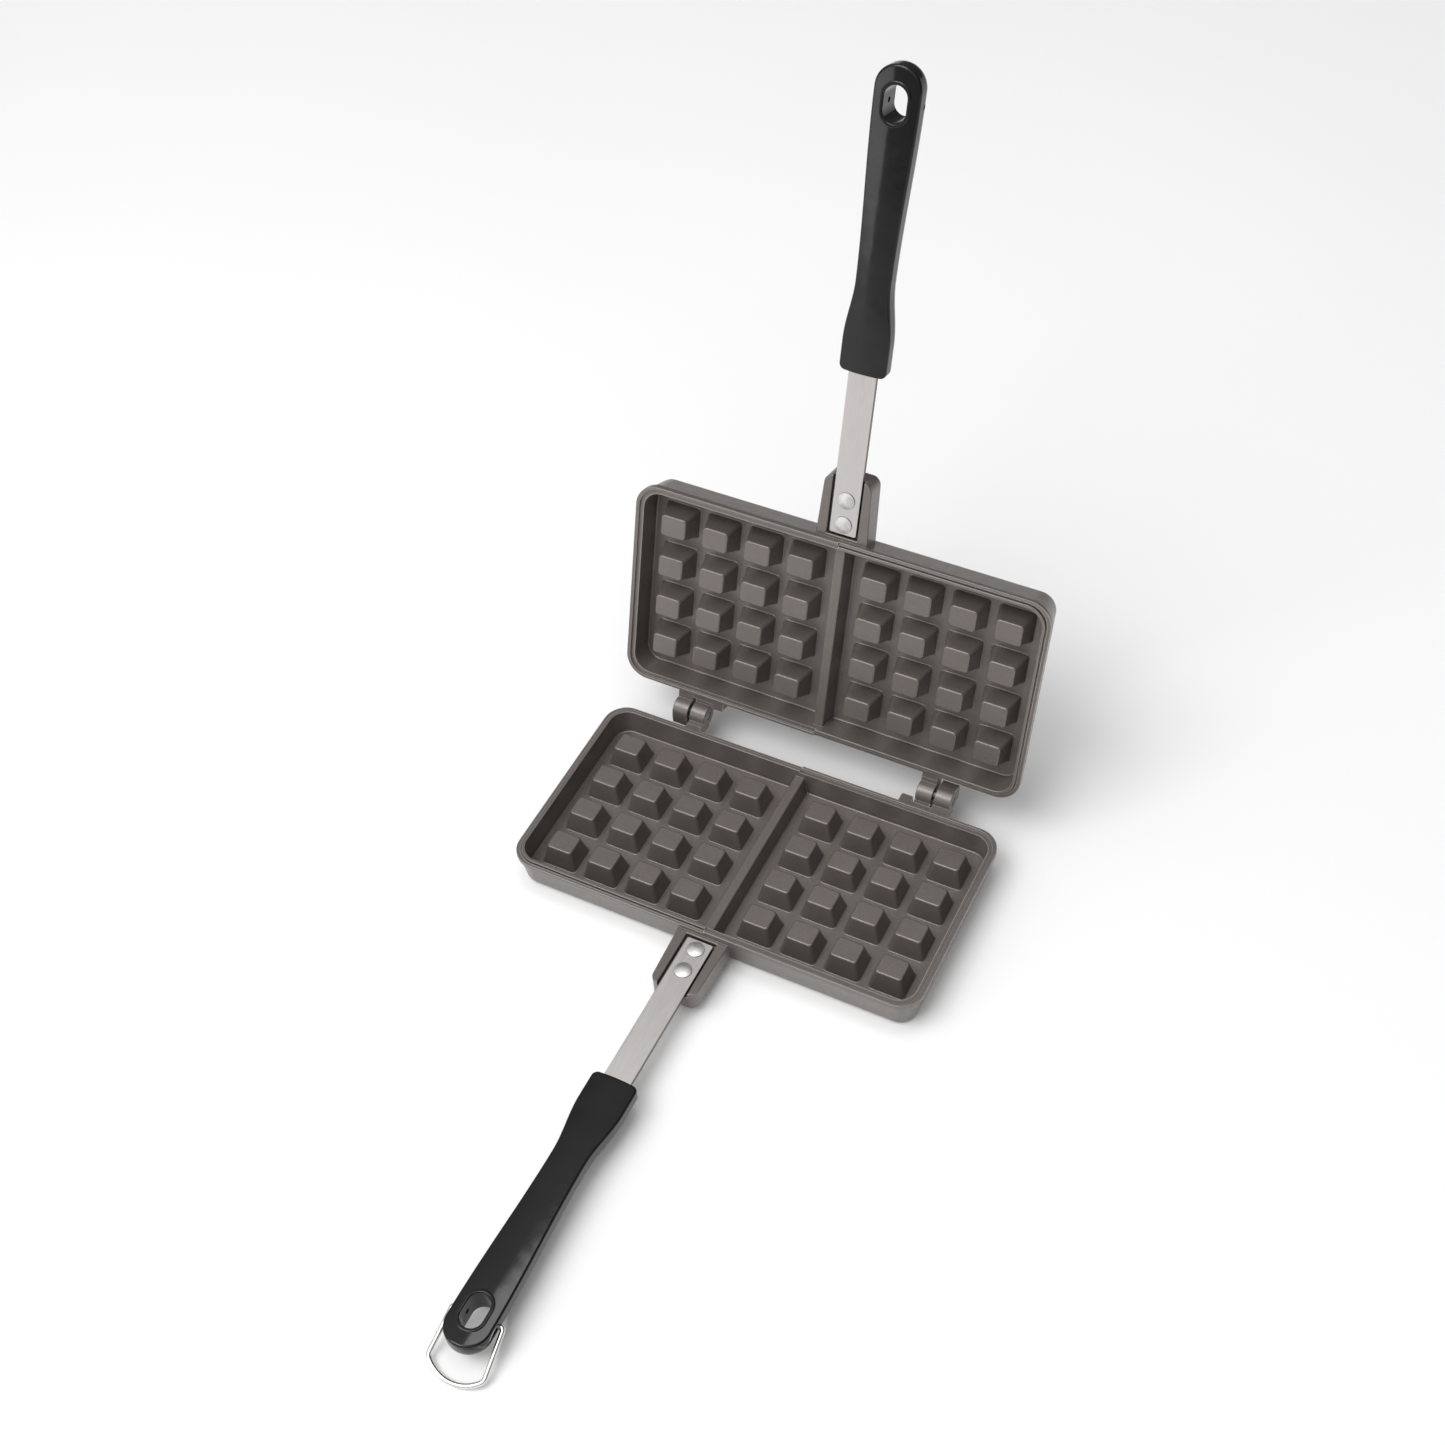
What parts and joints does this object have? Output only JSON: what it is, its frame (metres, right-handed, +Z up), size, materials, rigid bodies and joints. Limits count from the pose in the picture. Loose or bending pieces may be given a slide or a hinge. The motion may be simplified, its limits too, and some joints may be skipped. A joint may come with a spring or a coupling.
{
  "type": "stovetop double waffle iron",
  "caption": "Hinged cast aluminium double waffle iron for the hob, opened, with strap handles, black grips and a locking wire bail.",
  "frame": {"origin": "middle of the lower plate's flat underside", "axes": "+Z up, +Y from the handles towards the hinge, +X to the right when seen from the handle end"},
  "size_m": [0.1882, 0.4059, 0.3053],
  "materials": {
    "nonstick_casting": "matte dark taupe non-stick coating over cast aluminium",
    "strap_steel": "brushed along the length",
    "rivet_aluminium": "satin, lightly domed",
    "pin_steel": "satin",
    "grip_black": "glossy moulded phenolic",
    "screw_steel": "nickel plated",
    "bail_wire": "bright drawn stainless wire"
  },
  "bodies": {
    "base": {"lower_plate": "nonstick_casting", "lower_strap": "strap_steel", "lower_inner_rivet": "rivet_aluminium", "lower_outer_rivet": "rivet_aluminium", "lower_grip": "grip_black", "lower_grip_screw": "screw_steel", "hinge_pin_right": "pin_steel"},
    "lid": {"upper_plate": "nonstick_casting", "upper_strap": "strap_steel", "upper_inner_rivet": "rivet_aluminium", "upper_outer_rivet": "rivet_aluminium", "upper_grip": "grip_black", "upper_grip_screw": "screw_steel", "hinge_pin_left": "pin_steel"},
    "bail": {"lock_bail": "bail_wire"}
  },
  "joints": [
    {"name": "lid_hinge", "type": "hinge", "parent": "base", "child": "lid", "pos_m": [0, 0.0575, 0.0175], "axis": [1, 0, 0], "range_deg": [0, 106.6]},
    {"name": "bail_swing", "type": "hinge", "parent": "base", "child": "bail", "pos_m": [0, -0.2284, 0.0109], "axis": [-1, 0, 0], "range_deg": [0, 144]}
  ]
}
